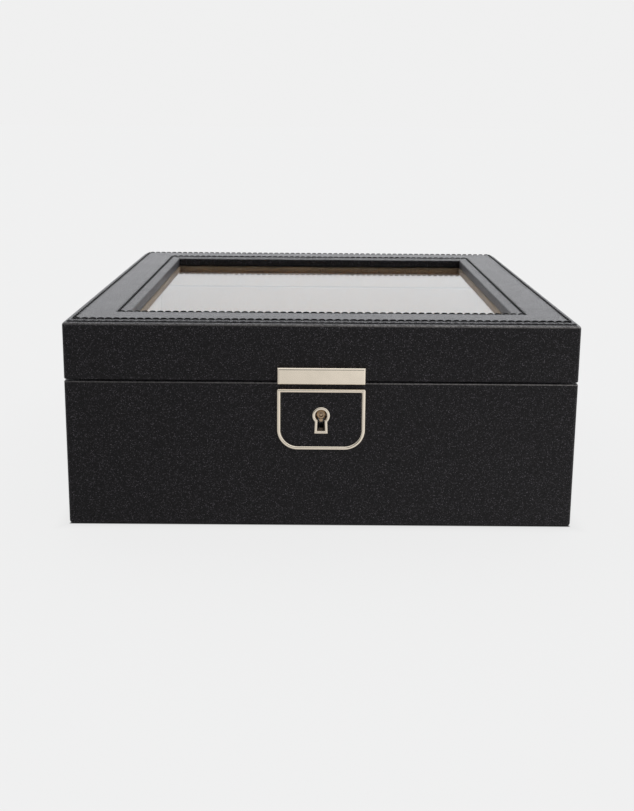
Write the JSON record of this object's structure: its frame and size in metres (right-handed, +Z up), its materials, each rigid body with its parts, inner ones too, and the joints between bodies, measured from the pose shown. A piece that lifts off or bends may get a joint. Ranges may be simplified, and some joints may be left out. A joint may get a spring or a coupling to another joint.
{
  "type": "glasses organizer box",
  "caption": "Square leather-wrapped glasses box with a glazed hinged lid, lined bays for folded glasses and a keyed clasp lock.",
  "frame": {"origin": "centre of the bounding box's underside, on the surface that the box stands on", "axes": "+Z up, +X to the right seen from the front, +Y towards the hinges; the lock faces -Y"},
  "size_m": [0.2, 0.2096, 0.0828],
  "materials": {
    "black_leather": "fine grained, satin",
    "velour": "short pile",
    "felt": "matte",
    "card": "matte",
    "fibreboard": "raw medium-density fibreboard",
    "pale_gold": "polished pale gold plating",
    "brass": "unplated, dull",
    "steel": "plain",
    "glass": "clear, polished"
  },
  "bodies": {
    "base": {"base_back_board": "fibreboard", "base_back_lining": "velour", "base_floor_board": "fibreboard", "base_front_board": "fibreboard", "base_front_lining": "velour", "base_hinge_screws": "pale_gold", "base_left_board": "fibreboard", "base_left_lining": "velour", "base_right_board": "fibreboard", "base_right_lining": "velour", "base_wrap": "black_leather", "bolt_spring": "steel", "bottom_felt": "felt", "bottom_infill": "card", "floor_pad": "velour", "front_divider": "velour", "key_post": "brass", "keyhole_trim": "pale_gold", "left_hinge_base_leaf": "pale_gold", "left_hinge_pin": "pale_gold", "lock_case": "steel", "lock_cover": "steel", "lock_plate": "pale_gold", "lock_selvage": "pale_gold", "plate_inlay": "black_leather", "plate_studs": "pale_gold", "rear_divider": "velour", "right_hinge_base_leaf": "pale_gold", "right_hinge_pin": "pale_gold", "selvage_screws": "pale_gold"},
    "lid": {"bar_studs": "pale_gold", "clasp_bar": "pale_gold", "glass_bead_back": "velour", "glass_bead_front": "velour", "glass_bead_left": "velour", "glass_bead_right": "velour", "glass_pane": "glass", "hasp_plate": "pale_gold", "hasp_screws": "pale_gold", "left_hinge_lid_leaf": "pale_gold", "lid_back_board": "fibreboard", "lid_back_lining": "velour", "lid_front_board": "fibreboard", "lid_front_lining": "velour", "lid_hinge_screws": "pale_gold", "lid_left_board": "fibreboard", "lid_left_lining": "velour", "lid_right_board": "fibreboard", "lid_right_lining": "velour", "lid_wrap": "black_leather", "right_hinge_lid_leaf": "pale_gold", "top_back_board": "fibreboard", "top_front_board": "fibreboard", "top_left_board": "fibreboard", "top_panel": "black_leather", "top_right_board": "fibreboard"},
    "bolt": {"lock_bolt": "steel"}
  },
  "joints": [
    {"name": "lid_hinge", "type": "hinge", "parent": "base", "child": "lid", "pos_m": [0, 0.10255, 0.059], "axis": [-1, 0, 0], "range_deg": [0, 95]},
    {"name": "bolt_slide", "type": "slide", "parent": "base", "child": "bolt", "axis": [1, 0, 0], "range_m": [0, 0.0035]}
  ]
}
